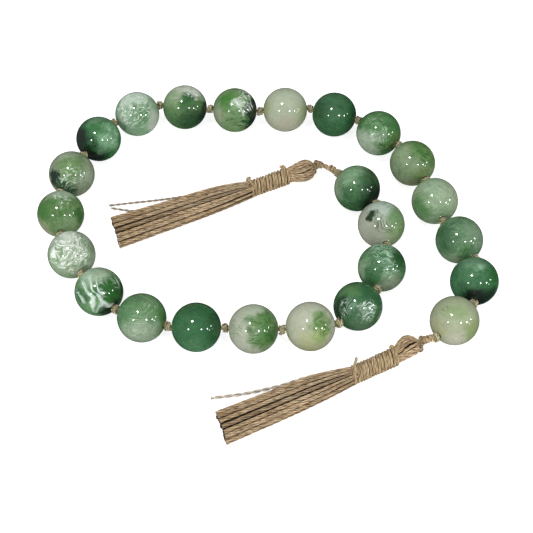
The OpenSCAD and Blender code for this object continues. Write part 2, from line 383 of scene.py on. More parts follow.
# Slot, base, cloud, cloud scale, then layers: right, up, reach, edge, colour and amount, and for
# streaks how many lines and how they lean. Fewer than 6 lines make long streaks, more make fine ones.
RECIPES = {
    1: ("jade_dark", "#2D5A33", "#456F47", 1.2, [
        (-0.3, 0.75, 0.6, 0.35, "#7C9F78", 0.9), (-0.4, 0.5, 0.6, 0.3, "#86AB84", 0.8, 9, 20),
        (0.75, -0.4, 0.7, 0.35, "#0E2414", 1.0),
        # Bead 1's pale grey patch at the left edge is a painted light rim, not a colour of the resin.
        (-0.97, 0.0, 0.55, 0.3, "#80957A", 0.95), (0.6, 0.6, 0.4, 0.3, "#1C3F22", 0.8)]),
    2: ("jade_pale", "#9B9F8C", "#A6AB99", 1.0, [
        (0.0, 0.75, 0.7, 0.3, "#B2C3B2", 0.95), (0.75, 0.15, 0.62, 0.25, "#6E9160", 0.95),
        (0.6, -0.5, 0.45, 0.25, "#86A070", 0.9), (-0.5, 0.38, 0.3, 0.08, "#17300F", 1.0),
        (-0.3, 0.25, 0.36, 0.12, "#2B4A20", 0.95, 8, -45), (0.0, -0.15, 0.4, 0.12, "#4A6038", 0.95, 7, -50),
        (0.75, -0.35, 0.25, 0.1, "#3C6A34", 0.8, 9, 20),
        (0.3, 0.8, 0.35, 0.15, "#6B8B66", 0.7, 8, 20)]),
    3: ("jade_green", "#47724A", "#628A60", 1.5, [
        (0.05, 0.7, 0.7, 0.25, "#B4DBBE", 0.9, 11, 0), (0.7, 0.4, 0.45, 0.2, "#1F4F24", 0.95),
        (0.35, -0.7, 0.5, 0.3, "#84917A", 0.9), (-0.9, 0.0, 0.4, 0.2, "#87A081", 0.8),
        (0.3, -0.05, 0.45, 0.15, "#C3DECB", 0.85, 11, 20), (-0.5, -0.4, 0.45, 0.2, "#3A6A3F", 0.8)]),
    4: ("jade_dark", "#2A5B35", "#3C6C42", 1.2, [
        (-0.75, 0.05, 0.45, 0.25, "#16361A", 0.95), (0.1, -0.75, 0.5, 0.25, "#557558", 0.9),
        (0.95, -0.35, 0.4, 0.15, "#7E8C78", 0.9), (0.36, -0.12, 0.42, 0.1, "#E4F3E8", 1.0, 12, 25),
        (0.42, -0.16, 0.3, 0.12, "#CFE3D4", 0.8, 15, 60),
        (-0.45, 0.0, 0.4, 0.15, "#B9D6C0", 0.85, 11, 60), (-0.4, 0.7, 0.4, 0.25, "#56804F", 0.8),
        (0.95, 0.1, 0.4, 0.2, "#7E957E", 0.8, 9, 80)]),
    5: ("jade_pale", "#B0B49B", "#BABFA8", 1.0, [
        (0.0, -0.8, 0.6, 0.35, "#AEB487", 0.85), (0.35, 0.35, 0.35, 0.25, "#6B9150", 0.85),
        (0.5, -0.05, 0.3, 0.2, "#547B36", 0.85), (0.4, -0.4, 0.35, 0.25, "#8FA765", 0.85),
        (0.45, 0.1, 0.5, 0.2, "#466B2C", 0.7, 7, 75), (-0.95, -0.2, 0.3, 0.2, "#99A873", 0.8)]),
    6: ("jade_pale", "#ABB29D", "#B7BCA9", 1.0, [
        (0.85, 0.0, 1.0, 0.35, "#7A9A6C", 0.95), (0.35, 0.4, 0.45, 0.25, "#4C7A3C", 0.8),
        (0.5, -0.45, 0.5, 0.25, "#4C7A3C", 0.75), (0.4, 0.0, 0.8, 0.2, "#33611F", 0.9, 9, 2),
        (-0.7, 0.0, 0.35, 0.1, "#6E8A58", 0.75, 8, 4), (0.85, -0.1, 0.4, 0.3, "#2F5C28", 0.85),
        (-0.1, 0.9, 0.45, 0.2, "#B1BEA3", 0.9)]),
    7: ("jade_dark", "#2A5E36", "#356840", 0.9, [
        # Bead 7 is plain dark resin: its lighter bottom patch is painted bounce light from the table, and its darker
        # right side is painted shade.
        (0.0, -0.9, 0.6, 0.35, "#4F7E58", 0.9), (0.85, 0.1, 0.5, 0.3, "#1F4A29", 0.8),
        (-0.5, 0.7, 0.5, 0.2, "#24542E", 0.6, 7, 0)]),
    8: ("jade_green", "#517C50", "#5F885B", 1.3, [
        (0.0, -0.7, 0.75, 0.35, "#92A48B", 0.95), (0.3, 0.55, 0.45, 0.2, "#93AA86", 0.8, 9, 5),
        (-0.1, -0.25, 0.5, 0.2, "#A3B89E", 0.8, 8, 20), (0.9, 0.1, 0.3, 0.15, "#55803F", 0.7),
        (0.0, 0.85, 0.4, 0.2, "#47743F", 0.8, 9, 0)]),
    9: ("jade_green", "#547F50", "#668F62", 1.3, [
        (0.55, 0.2, 0.6, 0.25, "#275E24", 0.95), (-0.2, 0.85, 0.6, 0.25, "#9DB598", 0.95),
        (0.45, -0.75, 0.5, 0.25, "#143019", 1.0), (-0.65, -0.2, 0.4, 0.2, "#2F5F33", 0.85),
        (-0.3, 0.05, 0.7, 0.12, "#DCEEE2", 0.95, 5.5, -62), (0.15, -0.5, 0.5, 0.1, "#E6F4EA", 1.0, 5, -50),
        (0.75, 0.5, 0.35, 0.12, "#B9CFB8", 0.85, 8, -60), (0.95, 0.1, 0.3, 0.15, "#16371B", 0.9)]),
    10: ("jade_pale", "#9DAE94", "#7E9776", 1.6, [
        (-0.6, -0.35, 0.42, 0.25, "#7C9F72", 0.9), (0.1, -0.85, 0.45, 0.25, "#86A078", 0.85),
        (-0.1, 0.8, 0.5, 0.25, "#CBD7C5", 0.8), (-0.05, 0.25, 1.0, 0.2, "#F4F9F0", 1.0, 9, 35),
        (0.3, 0.1, 0.8, 0.2, "#E8F0E2", 0.9, 8, 70), (0.85, 0.35, 0.35, 0.2, "#6F8B69", 0.8)]),
    11: ("jade_green", "#587A46", "#668754", 1.2, [
        (-0.6, 0.15, 0.5, 0.3, "#3F7030", 0.95), (0.0, 0.95, 0.5, 0.25, "#A5B69E", 0.95),
        (-0.5, -0.85, 0.6, 0.3, "#A9A88B", 0.95), (0.5, -0.55, 0.45, 0.3, "#7F9A70", 0.9),
        (0.85, -0.05, 0.3, 0.15, "#3A6634", 0.9), (0.1, 0.55, 0.35, 0.15, "#D2E6D2", 0.9, 8, 80),
        (0.3, 0.05, 0.4, 0.2, "#2F6424", 0.8, 7, 60)]),
    12: ("jade_sage", "#7A8A6D", "#87957A", 1.1, [
        (0.1, 0.35, 0.6, 0.35, "#60854B", 0.9), (-0.65, -0.3, 0.38, 0.12, "#12291B", 1.0),
        (-0.2, -0.75, 0.5, 0.2, "#244A2C", 0.95), (0.15, -0.25, 0.55, 0.2, "#C0D4BE", 0.95, 9, 55),
        (0.85, -0.2, 0.35, 0.2, "#9DAA92", 0.85), (-0.1, 0.85, 0.4, 0.2, "#9CAE92", 0.8)]),
    13: ("jade_dark", "#2C6334", "#3C7643", 1.2, [
        (-0.85, -0.1, 0.65, 0.3, "#0E2114", 1.0), (-0.2, -0.8, 0.6, 0.25, "#102117", 1.0),
        (0.6, -0.1, 0.55, 0.3, "#74A07A", 0.9), (0.65, 0.15, 0.45, 0.2, "#A6C7A8", 0.75, 9, 50),
        (0.0, 0.9, 0.4, 0.2, "#6F9070", 0.7), (-0.3, -0.3, 0.4, 0.15, "#10251A", 0.9, 9, 40)]),
    14: ("jade_pale", "#7BA07E", "#93B092", 1.5, [
        (-0.1, 0.75, 0.6, 0.25, "#BDD2BC", 0.9), (0.15, -0.15, 0.45, 0.25, "#5A8658", 0.9),
        (0.0, 0.3, 0.9, 0.2, "#E6F0E4", 0.72, 8, 30), (0.85, -0.35, 0.4, 0.2, "#B9C4B2", 0.9),
        (-0.7, -0.6, 0.3, 0.15, "#2F4A35", 0.9, 7, -50), (-0.75, 0.05, 0.4, 0.2, "#DDE8DA", 0.9, 7, 80),
        (0.3, 0.1, 0.5, 0.2, "#3F6C41", 0.7, 8, 40)]),
    15: ("jade_green", "#4E7346", "#5E8353", 1.1, [
        (-0.6, 0.5, 0.55, 0.35, "#8AA37C", 0.95), (0.1, 0.9, 0.7, 0.25, "#B9C2AE", 1.0),
        (0.3, -0.8, 0.6, 0.35, "#26492B", 0.95), (0.95, -0.25, 0.6, 0.3, "#132A1A", 1.0),
        (0.15, 0.2, 0.35, 0.2, "#2A5A2A", 0.9), (0.35, 0.62, 0.42, 0.12, "#F0F7F0", 1.0, 8, -15),
        (0.8, 0.4, 0.35, 0.15, "#8FA98A", 0.9)]),
    16: ("jade_dark", "#688A57", "#79996A", 1.3, [
        (-0.8, -0.3, 0.45, 0.3, "#98A387", 0.9), (-0.3, 0.4, 0.42, 0.25, "#417A2C", 0.95),
        (0.95, -0.2, 0.75, 0.15, "#0F2318", 1.0), (0.6, 0.75, 0.35, 0.15, "#122A1B", 0.95),
        (0.15, 0.25, 0.25, 0.12, "#C3D4C0", 0.9), (0.5, 0.2, 0.4, 0.1, "#F6FBF6", 1.0, 8, -40),
        (0.25, -0.6, 0.55, 0.2, "#2A5232", 0.95, 9, 15), (0.55, 0.7, 0.4, 0.12, "#E2EEE2", 1.0, 8, -35)]),
    17: ("jade_pale", "#A9B399", "#B4BCA4", 1.0, [
        (-0.9, 0.0, 0.4, 0.3, "#A3AD80", 0.85), (0.9, -0.15, 0.4, 0.3, "#A4AF7E", 0.85),
        (0.0, -0.85, 0.5, 0.3, "#B4B09B", 0.8), (0.0, 0.35, 0.6, 0.3, "#A3B797", 0.6, 9, 20)]),
    18: ("jade_dark", "#315F3B", "#3D6B46", 1.0, [
        # Bead 18's darker left and right patches are painted shade, and its lighter top, drawn as streaks, is painted
        # light.
        (-0.7, 0.2, 0.4, 0.25, "#1F4A28", 0.85), (0.1, 0.75, 0.5, 0.3, "#447249", 0.7, 8, 0),
        (0.95, 0.0, 0.4, 0.3, "#1C4225", 0.8)]),
    19: ("jade_green", "#40703D", "#52804C", 1.2, [
        (-0.65, -0.55, 0.68, 0.2, "#A4B69D", 0.95), (0.0, 0.85, 0.4, 0.25, "#6C9463", 0.85, 9, 0),
        (-0.15, -0.2, 0.4, 0.12, "#BDD0B9", 0.8, 9, -50), (0.65, -0.45, 0.4, 0.2, "#5C7840", 0.85),
        (0.05, -0.7, 0.45, 0.2, "#7F9A70", 0.85, 7, -50), (-0.3, 0.5, 0.4, 0.2, "#8FB08A", 0.7, 8, 20)]),
    20: ("jade_sage", "#768D69", "#829674", 1.0, [
        (0.3, 0.6, 0.6, 0.3, "#557F42", 0.95), (0.3, 0.38, 0.42, 0.15, "#275A1B", 0.9, 8, 8),
        (0.8, 0.0, 0.35, 0.2, "#54783F", 0.9), (0.3, -0.6, 0.45, 0.25, "#6F8450", 0.9),
        (-0.3, -0.9, 0.4, 0.25, "#868B68", 0.85), (-0.5, 0.5, 0.4, 0.2, "#8AA078", 0.8)]),
    21: ("jade_sage", "#89A37F", "#98AF8E", 1.0, [
        (-0.75, -0.3, 0.5, 0.3, "#54804A", 0.9), (0.0, 0.85, 0.5, 0.3, "#95AF8F", 0.8),
        (-0.1, -0.65, 0.5, 0.25, "#66875A", 0.85, 9, 60), (0.7, 0.3, 0.5, 0.3, "#9BAA8C", 0.8)]),
    22: ("jade_green", "#557C56", "#648962", 1.1, [
        (-0.7, 0.2, 0.5, 0.3, "#3A6340", 0.95), (0.0, -0.5, 0.4, 0.2, "#3F6B36", 0.9, 7, 80),
        (0.65, 0.2, 0.6, 0.3, "#769073", 0.9), (-0.2, 0.65, 0.45, 0.25, "#7CA07C", 0.85, 7, 10),
        (-0.4, -0.85, 0.35, 0.2, "#8CA083", 0.8)]),
    23: ("jade_dark", "#33643F", "#41744C", 1.1, [
        (-0.05, -0.68, 0.55, 0.24, "#0F1C15", 1.0), (0.5, -0.75, 0.42, 0.2, "#132A1A", 0.95),
        (0.7, 0.1, 0.45, 0.25, "#29602D", 0.9), (-0.1, 0.85, 0.5, 0.25, "#62896A", 0.85),
        (-0.2, 0.7, 0.55, 0.25, "#6A9670", 0.8, 7, 10),
        (0.2, 0.65, 0.15, 0.1, "#9CC4A0", 0.7)]),
    24: ("jade_pale", "#9DA586", "#AAB294", 1.1, [
        (0.1, 0.6, 0.6, 0.35, "#9FB286", 0.5), (-0.3, 0.5, 0.3, 0.15, "#63863F", 0.9, 9, -20),
        (0.1, 0.45, 0.3, 0.2, "#86A26C", 0.6), (0.7, -0.3, 0.45, 0.2, "#84995F", 0.8),
        (-0.75, -0.3, 0.4, 0.3, "#A3A67F", 0.85), (0.0, -0.85, 0.45, 0.25, "#BBBBA6", 0.85)]),
}

# %% Turn and finish the beads
BORE, LIP, LIP_DEPTH = 1.8 * MM, 3.2 * MM, 0.8 * MM
# Pale resin shows less of its fine mottle than dark resin.
PALE_MOTTLE, DARK_MOTTLE = 0.11, 0.24
face_count = 0
for k in BEADS:
    spin = joints[f"bead_{k:02d}_spin"]
    slot, base, cloud, clouds, layers = RECIPES[k]
    centre = Vector(spin["pos_m"])
    mottle = PALE_MOTTLE if slot == "jade_pale" else DARK_MOTTLE
    material = jade(f"marbled_jade_resin_{k:02d}", centre, 3.1 * k, base, cloud, clouds, layers, mottle)
    bead = grow(bead_tree, f"jade_bead_{k:02d}", {
        "Diameter": 2 * BEAD_R, "Bore": BORE, "Lip": LIP, "Lip depth": LIP_DEPTH, "Centre": centre,
        "Heading": math.atan2(spin["axis"][1], spin["axis"][0]), "Material": material})
    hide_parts(f"bead_{k:02d}")
    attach(bead, f"bead_{k:02d}")
    face_count += len(bead.data.polygons)
print(face_count, "faces in", len(BEADS), "beads")

# %% [markdown]
# ## A tree that lays twine
# Jute twine is two to four yarns, called plies, twisted round each other, and each ply is a
# bundle of stiff fibres. A smooth tube with a bump map looks like plastic tubing from close up,
# so the tree does what a ropewalk does: it copies the path once for each ply, winds the copies
# round it, and sweeps each into a round yarn. Every point keeps where it is on its fibre, as an
# attribute that the finish reads, and a lit attribute of painted shade: dark in the grooves
# between plies and on yarns that are given a low shade.

# %% Build the twine tree
tree, given = new_tree("laid_twine", [
    ("Plies", "Int"), ("Ply radius", "Float"), ("Lay radius", "Float"), ("Lay length", "Float"),
    ("Step", "Float"), ("Sides", "Int"), ("Root size", "Float"), ("Root part", "Float"),
    ("Seed", "Int"), ("Material", "Material")])
line = add(tree, "GeometryNodeMeshToCurve", {"Mesh": given.outputs["Geometry"]})
fine_line = add(tree, "GeometryNodeResampleCurve", {
    "Curve": line, "Length": given.outputs["Step"]}, mode="LENGTH")
strand = add(tree, "GeometryNodeCaptureAttribute", {"Geometry": fine_line}, domain="CURVE")
strand.capture_items.new("INT", "Strand")
give(tree, add(tree, "GeometryNodeInputIndex"), strand.inputs[1])
plies = add(tree, "GeometryNodeDuplicateElements", {
    "Geometry": strand, "Amount": given.outputs["Plies"]}, domain="SPLINE")
along = add(tree, "GeometryNodeSplineParameter")
opening = add(tree, MAP_RANGE, {
    "Value": along.outputs["Factor"], "From Min": 0.0, "From Max": given.outputs["Root part"],
    "To Min": given.outputs["Root size"], "To Max": 1.0}, interpolation_type="SMOOTHSTEP")
chance = add(tree, "FunctionNodeRandomValue", {
    "ID": strand.outputs[1], "Seed": given.outputs["Seed"]}, data_type="FLOAT")
share = add(tree, MATH, [plies.outputs["Duplicate Index"], given.outputs["Plies"]], operation="DIVIDE")
turns = add(tree, MATH, [along.outputs["Length"], given.outputs["Lay length"]], operation="DIVIDE")
for extra in (share, chance.outputs[1]):
    turns = add(tree, MATH, [turns, extra], operation="ADD")
angle = add(tree, MATH, [turns, math.tau], operation="MULTIPLY")
normal = add(tree, "GeometryNodeInputNormal")
tangent = add(tree, "GeometryNodeInputTangent")
side = add(tree, VECTOR_MATH, [tangent, normal], operation="CROSS_PRODUCT")
reach = add(tree, MATH, [given.outputs["Lay radius"], opening], operation="MULTIPLY")
off = []
for outward, wave in ((normal, "COSINE"), (side, "SINE")):
    swing = add(tree, MATH, [angle], operation=wave)
    far = add(tree, MATH, [reach, swing], operation="MULTIPLY")
    off.append(add(tree, VECTOR_MATH, {0: outward, "Scale": far}, operation="SCALE"))
winding = add(tree, VECTOR_MATH, off, operation="ADD")
ply_number = add(tree, MATH, [strand.outputs[1], 3.0, plies.outputs["Duplicate Index"]], operation="MULTIPLY_ADD")
kept = add(tree, "GeometryNodeCaptureAttribute", {"Geometry": plies}, domain="POINT")
middle = add(tree, "GeometryNodeInputPosition")
kept_values = (("FLOAT", "Along", along.outputs["Length"]), ("FLOAT", "Number", ply_number),
               ("FLOAT", "Opening", opening), ("VECTOR", "Middle", middle))
# They come out of the node in this order, after the geometry: along 1, number 2, opening 3, middle 4.
for kind, label, _ in kept_values:
    kept.capture_items.new(kind, label)
for index, (_, _, source) in enumerate(kept_values, 1):
    give(tree, source, kept.inputs[index])
wound = add(tree, "GeometryNodeSetPosition", {"Geometry": kept, "Offset": winding})
section = add(tree, "GeometryNodeCurvePrimitiveCircle", {
    "Resolution": given.outputs["Sides"], "Radius": given.outputs["Ply radius"]})
around = add(tree, "GeometryNodeCaptureAttribute", {"Geometry": section}, domain="POINT")
around.capture_items.new("FLOAT", "Around")
part_round = add(tree, "GeometryNodeSplineParameter")
give(tree, part_round.outputs["Factor"], around.inputs[1])
yarn = add(tree, "GeometryNodeCurveToMesh", {
    "Curve": wound, "Profile Curve": around, "Scale": kept.outputs[3], "Fill Caps": True})
fibre_lay = add(tree, MATH, [given.outputs["Lay length"], -1.4], operation="MULTIPLY")
twist = add(tree, MATH, [kept.outputs[1], fibre_lay], operation="DIVIDE")
twisted = add(tree, MATH, [around.outputs[1], twist], operation="ADD")
theta = add(tree, MATH, [twisted, math.tau], operation="MULTIPLY")
fibre = add(tree, COMBINE_XYZ, {
    "Z": add(tree, MATH, [kept.outputs[2], 0.13, kept.outputs[1]], operation="MULTIPLY_ADD")})
for key, wave in (("X", "COSINE"), ("Y", "SINE")):
    swing = add(tree, MATH, [theta], operation=wave)
    give(tree, add(tree, MATH, [swing, given.outputs["Ply radius"]], operation="MULTIPLY"), fibre.inputs[key])
marked = add(tree, "GeometryNodeStoreNamedAttribute", {
    "Geometry": yarn, "Name": "fibre", "Value": fibre}, data_type="FLOAT_VECTOR", domain="POINT")
here = add(tree, "GeometryNodeInputPosition")
off_middle = add(tree, VECTOR_MATH, [here, kept.outputs[4]], operation="DISTANCE")
half_width = add(tree, MATH, [given.outputs["Ply radius"], given.outputs["Lay radius"]], operation="ADD")
full = add(tree, MATH, [kept.outputs[3], half_width], operation="MULTIPLY")
how_far = add(tree, MATH, [off_middle.outputs["Value"], full], operation="DIVIDE")
# Light doesn't reach the groove between two plies, so its shade is painted: the lit attribute gets darker towards the
# middle of the strand, and darker still on yarns with a low shade.
groove_shade = add(tree, MAP_RANGE, {
    "Value": how_far, "From Min": 0.45, "From Max": 0.92, "To Min": 0.12, "To Max": 1.0})
shade = add(tree, "GeometryNodeInputNamedAttribute", {"Name": "shade"}, data_type="FLOAT")
light = add(tree, MATH, [groove_shade, shade], operation="MULTIPLY")
lit = add(tree, "GeometryNodeStoreNamedAttribute", {
    "Geometry": marked, "Name": "lit", "Value": light}, data_type="FLOAT", domain="POINT")
twine_tree = end_tree(tree, lit, given.outputs["Material"])
print(len(tree.nodes), "nodes lay twine")


# %% [markdown]
# ## The finish of jute
# Jute fibres are the dry inner bark of a plant: straw to honey brown, dull, with a faint sheen
# along the fibre. The finish follows the fibre attribute, so its fine streaks run along each ply
# and turn with it. Fibres are 0.02 mm wide, too fine to show, so the streaks are drawn 0.3 mm wide.


# %% One function for jute
def jute(name, pale, middle, dark):
    """Dry plant fibre: streaks along each ply, tone that changes from strand to strand, no gloss, and painted shade
    from the lit attribute, darkest in the ply grooves.
    """
    material, tree = new_material(name)
    fibre = add(tree, "ShaderNodeAttribute", attribute_name="fibre")
    streak_width, streak_length, tone_length = 0.3 * MM, 3 * MM, 40 * MM
    fine = add(tree, MAPPING, {
        "Vector": fibre.outputs["Vector"], "Scale": (streak_width, streak_width, streak_length)},
        vector_type="TEXTURE")
    streaks = add(tree, NOISE, {"Vector": fine, "Scale": 1.0, "Detail": 3.0, "Roughness": 0.6})
    slow = add(tree, MAPPING, {
        "Vector": fibre.outputs["Vector"], "Scale": (1, 1, tone_length)}, vector_type="TEXTURE")
    tones = add(tree, NOISE, {"Vector": slow, "Scale": 1.0, "Detail": 2.0})
    tone = add(tree, MAP_RANGE, {"Value": tones.outputs["Fac"], "From Min": 0.35, "From Max": 0.65})
    streak = add(tree, MAP_RANGE, {"Value": streaks.outputs["Fac"], "From Min": 0.34, "From Max": 0.58})
    colour = add(tree, "ShaderNodeMix", {0: tone, 6: to_linear(middle), 7: to_linear(pale)}, data_type="RGBA")
    colour = add(tree, "ShaderNodeMix", {0: streak, 6: to_linear(dark), 7: colour}, data_type="RGBA")
    lit = add(tree, "ShaderNodeAttribute", attribute_name="lit")
    # The lit attribute paints shade: where it is low, the colour is mixed towards near-black brown.
    groove_shade = to_linear("#2A1A0C")
    colour = add(tree, "ShaderNodeMix", {0: lit.outputs["Fac"], 6: groove_shade, 7: colour}, data_type="RGBA")
    bump = add(tree, "ShaderNodeBump", {"Height": streaks.outputs["Fac"], "Distance": 0.12 * MM, "Strength": 0.8})
    shader = add(tree, "ShaderNodeBsdfPrincipled", {
        "Base Color": colour, "Roughness": 0.82, "Normal": bump, "Sheen Weight": 0.15, "IOR": 1.5,
        "Specular IOR Level": 0.25})
    add(tree, "ShaderNodeOutputMaterial", {"Surface": shader})
    return material


# The knot twine is given paler, greyer tones than the tassel yarn.
knot_jute = jute("pale_knot_jute_twine", "#E2DAB0", "#ACA076", "#43381C")
twine_jute = jute("jute_twine", "#F6DEB4", "#CBAB79", "#5C3F1E")
tassel_jute = jute("jute_tassel_yarn", "#FCE2BA", "#C9A677", "#4E3216")
grey_jute = jute("weathered_jute_yarn", "#CFC3B2", "#B8AA98", "#948674")
pale_jute = jute("bleached_jute_yarn", "#F2E8DA", "#DCD0C0", "#B8AC9A")
print("5 kinds of jute")


# %% [markdown]
# ## Paths in the part's own measures
# The two necks, the tassels and the loose yarns follow routes of a few round numbers, the same
# ones that the part's source uses, in millimetres. A smooth curve runs through the points.

# %% Routes and tassels
NECKS = {
    "inner": [(31, 43, 9.5), (29, 45.8, 8), (27, 48, 6.4), (25.4, 49.6, 5.2), (24, 50.2, 4.8)],
    "outer": [(67, -44.2, 8.6), (66, -43.6, 7), (65, -43.1, 5.6), (64.2, -42.9, 4.8)],
}
STRAYS = {
    "inner_stray_long": [(-12, 38.6, 4), (-22, 36.4, 3), (-34, 34.6, 1.6), (-46, 33, 0.8), (-57, 31.6, 0.6),
                         (-68, 30, 0.6)],
    "inner_stray_short": [(-12, 38.4, 2.2), (-24.2, 34.9, 1.4), (-36, 30, 1), (-48, 26.6, 0.6), (-58, 27, 0.6),
                          (-67, 28.6, 0.6)],
    "outer_stray": [(27.4, -57.4, 4.4), (17.6, -59.5, 4), (8, -62.4, 3), (-2, -64.6, 1.9), (-11, -66, 1.2),
                    (-20.6, -67.2, 0.9)],
}
# Start, then headings and lengths of the head loops, the binding and the skirt, and the skirt's width.
TASSELS = {
    "inner": ((22.6, 49.4), (206, 205, 203), (12.4, 20, 61.6), 15.4),
    "outer": ((63, -43.8), (213, 207, 205), (11, 21.2, 56), 15.2),
}
TASSEL_Z = 4.7


def smooth(route, steps):
    """A smooth curve through a route's points, with a few steps between each two."""
    points = [Vector(p) for p in route]
    ends = [points[0], *points, points[-1]]
    curve = []
    for i in range(len(points) - 1):
        a, b, c, d = ends[i : i + 4]
        for s in range(steps):
            t = s / steps
            curve.append(0.5 * (2 * b + (c - a) * t + (2 * a - 5 * b + 4 * c - d) * t**2
                                + (3 * b - a - 3 * c + d) * t**3))
    return [*curve, points[-1]]


def heading(degrees):
    """The direction on the table that a heading means."""
    return Vector((math.cos(math.radians(degrees)), math.sin(math.radians(degrees)), 0))


def tassel_place(name, part, forward, left=0.0, up=0.0):
    """A place on a tassel, from the start of part 0, 1 or 2: forward along it, to its left, and up."""
    start, headings, lengths, _ = TASSELS[name]
    place = Vector((*start, TASSEL_Z))
    for degrees, length in zip(headings[:part], lengths):
        place += length * heading(degrees)
    ahead = heading(headings[part])
    return place + forward * ahead + left * Vector((-ahead.y, ahead.x, 0)) + Vector((0, 0, up))


# %% Lay twine along paths
def lay_twine(name, paths, material, diameter, plies=3, lay=3.6, sides=7, root=(1.0, 1.0), seed=1, step=0.4,
              shades=None):
    """Lay twine along paths, each with its shade, a factor for painted shade and tone; the diameter and the points
    are in millimetres.
    """
    verts, edges, point_shades = [], [], []
    for number, path in enumerate(paths):
        first = len(verts)
        verts += [Vector(p) * MM for p in path]
        edges += [(i, i + 1) for i in range(first, len(verts) - 1)]
        point_shades += [shades[number] if shades else 1.0] * len(path)
    # Round plies that touch round the middle: their radius and their distance from it.
    ply = 1.08 * MM * diameter / 2 / (1 + 1 / math.sin(math.pi / plies))
    return grow(twine_tree, name, {
        "Plies": plies, "Ply radius": ply, "Lay radius": diameter / 2 * MM - ply, "Lay length": lay * diameter * MM,
        "Step": step * MM, "Sides": sides, "Root size": root[0], "Root part": root[1], "Seed": seed,
        "Material": material}, verts, edges, point_shades)


# %% [markdown]
# ## The knots between the beads
# A knot stops the beads from grinding on each other. It is a simple overhand knot pulled tight,
# which ends up as two turns side by side with a strand that crosses over them. The turns keep
# inside the gap of 3 mm, and the twine goes on through the next bead's hole. Each twine part
# here runs through one bead and carries the knot after it, so the strand bends at the knots.


# %% Helpers for knots
def coil(centre, axis, radius, turns, pitch, phase=0.0, points=14):
    """A coil round an axis, centred on a point."""
    axis = Vector(axis).normalized()
    first = axis.cross(Vector((0, 0, 1)) if abs(axis.z) < 0.9 else Vector((1, 0, 0))).normalized()
    second = axis.cross(first)
    total = int(turns * points)
    path = []
    for i in range(total + 1):
        share = i / total
        angle = phase + math.tau * turns * share
        path.append(Vector(centre) + axis * (pitch * turns * (share - 0.5))
                    + radius * (first * math.cos(angle) + second * math.sin(angle)))
    return path


def tight_knot(centre, axis, phase):
    """Twine that comes in along the axis, turns twice round it, crosses itself and leaves."""
    axis = Vector(axis).normalized()
    turns = coil(centre, axis, 1.25, 2.0, 0.85, phase)
    crossing = coil(centre, axis, 1.5, 0.55, -3.4, phase + 2.2, points=12)
    return [turns, crossing]


def knot_at(k):
    """Where the knot after bead k is, in millimetres."""
    name = next(n for n in joints if n.startswith(f"knot_{k:02d}"))
    return Vector(joints[name]["pos_m"]) / MM


# %% Thread and knot the strand
for k in BEADS:
    start, end = knot_at(k - 1), knot_at(k)
    axis = (end - start).normalized()
    run = [start.lerp(end, i / 12) for i in range(13)]
    knots = tight_knot(end, axis, 1.3 * k) + (tight_knot(start, axis, 0.4) if k == 1 else [])
    twine = lay_twine(f"knotted_twine_{k:02d}", [run, *knots], knot_jute, 1.5, seed=k)
    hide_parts(f"twine_{k:02d}")
    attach(twine, f"twine_{k:02d}")
print("twine and knots:", len(BEADS), "parts, the last has", len(twine.data.polygons), "faces")

# %% [markdown]
# ## The necks
# Past the end knots the twine is doubled. It comes out of the bead wrapped tightly in itself,
# runs free as a twisted pair, is tied off in a small lump, and ends in a ring that passes
# through the tassel's loops.


# %% Twist and wrap the necks
def twisted_pair(route, radius, turns):
    """Two strands that twist round each other along a route."""
    length = len(route) - 1
    strands = ([], [])
    for i, point in enumerate(route):
        axis = (route[min(i + 1, length)] - route[max(i - 1, 0)]).normalized()
        first = axis.cross(Vector((0, 0, 1))).normalized()
        second = axis.cross(first)
        for side, strand in enumerate(strands):
            angle = math.tau * (turns * i / length + side / 2)
            strand.append(point + radius * (first * math.cos(angle) + second * math.sin(angle)))
    return strands


def wrap(route, radius, turns, phase=0.0):
    """A strand wound round a route."""
    steps = int(turns * 14)
    path = []
    for i in range(steps + 1):
        at = i / steps * (len(route) - 1)
        low = min(int(at), len(route) - 2)
        point = route[low].lerp(route[low + 1], at - low)
        axis = (route[low + 1] - route[low]).normalized()
        first = axis.cross(Vector((0, 0, 1))).normalized()
        angle = phase + math.tau * turns * i / steps
        path.append(point + radius * (first * math.cos(angle) + axis.cross(first) * math.sin(angle)))
    return path


# Wrapped share of the route, its turns, and where the lump sits on it.
NECK_WORK = {"inner": (0.42, 3.6, 0.86), "outer": (0.75, 3.2, 0.85)}
for name, (share, turns, lump) in NECK_WORK.items():
    knot = knot_at(0 if name == "inner" else 24)
    route = smooth([knot, *NECKS[name]], 6)
    last = len(route) - 1
    wrapped = wrap(route[: int(last * share) + 1], 1.15, turns)
    lump_axis = route[last] - route[last - 4]
    circle = [math.tau * i / 20 for i in range(21)]
    ring = [tassel_place(name, 0, 1.5 * math.cos(a) - 0.5, 1.4 * math.sin(a),
                         0.9 * math.sin(a) + 0.5 * math.cos(2 * a)) for a in circle]
    loop = [tassel_place(name, 0, 1.2 * math.cos(a) - 1.2, 1.5 * math.sin(a + 0.6), 0.3 - 0.7 * math.sin(a))
            for a in circle]
    lump_coil = coil(route[int(last * lump)], lump_axis, 1.2, 2.4, 0.9)
    paths = [*twisted_pair(route, 0.55, 1.6), wrapped, lump_coil, ring, loop]
    neck = lay_twine(f"{name}_neck_twine", paths, twine_jute, 1.25, seed=31, shades=(1, 0.85, 1, 0.9, 0.8, 0.7))
    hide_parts(f"{name}_neck")
    tassel_place(name, 0, -2.4) * MM
    tassel_place(name, 0, 0.4) * MM
    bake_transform(neck)
    print(neck.name, len(neck.data.polygons), "faces")

# %% [markdown]
# ## The tassel heads
# A tassel starts as a skein: yarn wound many times round a card, and then slipped off. The neck's
# ring goes through the skein, which folds over it, swells, and runs back together under the
# binding. Each loop is a yarn that climbs one side, turns over the ring, and returns below.

